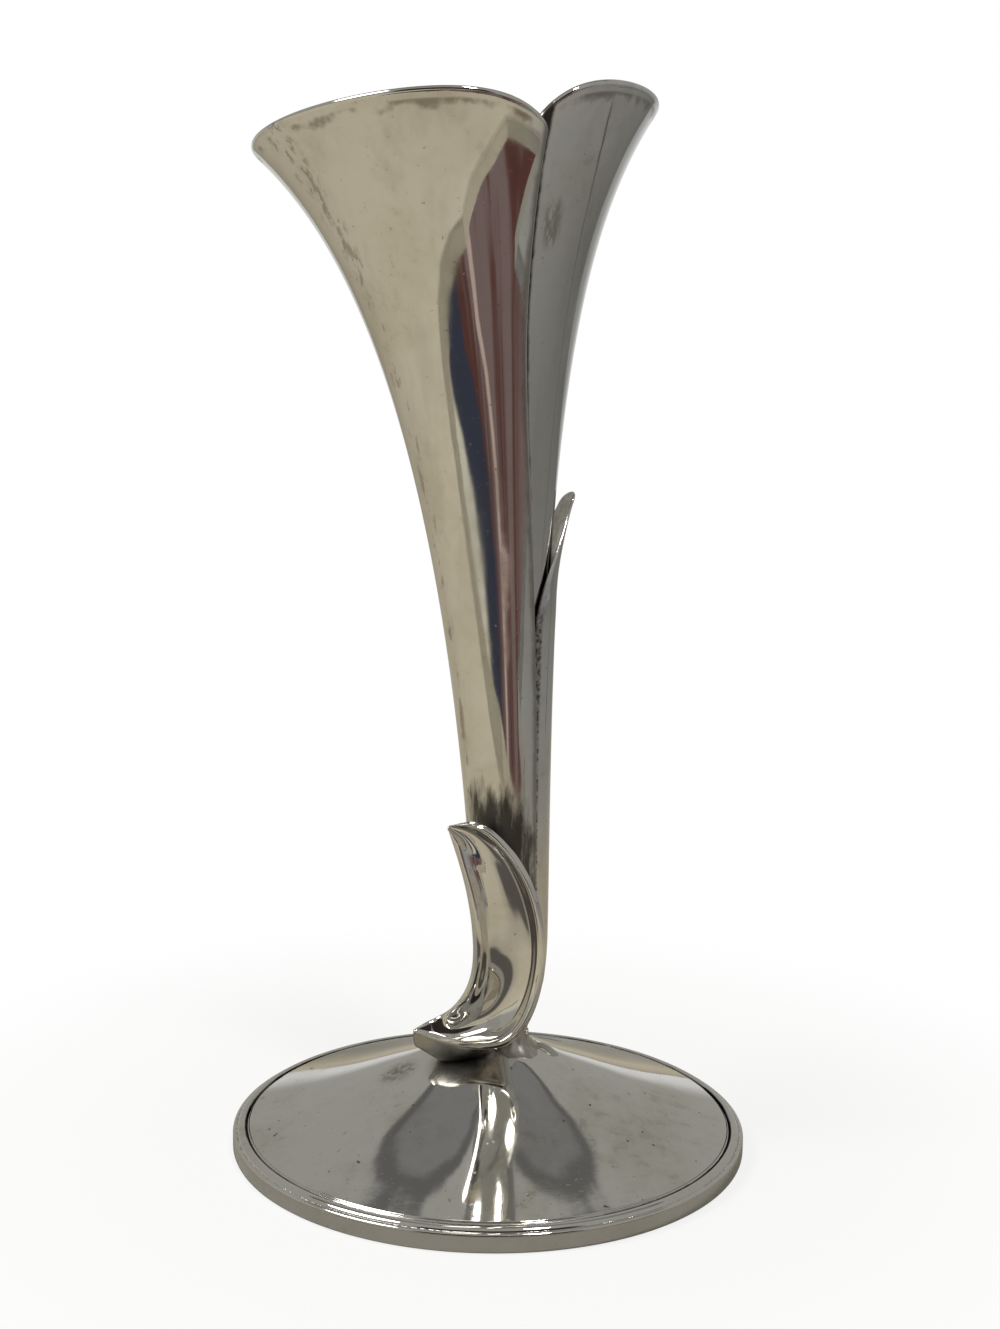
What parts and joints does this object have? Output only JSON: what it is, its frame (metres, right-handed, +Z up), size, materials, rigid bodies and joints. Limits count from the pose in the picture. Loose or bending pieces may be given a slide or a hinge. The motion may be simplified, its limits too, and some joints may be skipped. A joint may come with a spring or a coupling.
{
  "type": "trumpet vase",
  "caption": "Lily-shaped bud vase: a lapped sheet-metal trumpet on a leaning stem with two leaves, soldered to a round spun foot with an applied rim.",
  "frame": {"origin": "centre of the underside of the foot, on the surface that the vase stands on", "axes": "+Z up; the lapped seam faces the front, -Y; +X to the right as seen from the front"},
  "size_m": [0.086, 0.086, 0.1731],
  "materials": {
    "foot_rim": "polished silver plate",
    "foot": "polished silver plate",
    "bung": "polished silver plate",
    "flower": "polished silver plate",
    "seam": "dull solder",
    "long_leaf": "polished silver plate",
    "short_leaf": "polished silver plate",
    "solder": "dull solder"
  },
  "bodies": {
    "root": {"foot_rim_ring": "foot_rim", "foot_dome": "foot", "stem_base": "bung", "flower_trumpet": "flower", "seam_solder": "seam", "back_leaf": "long_leaf", "front_leaf": "short_leaf", "base_solder": "solder"}
  },
  "joints": []
}
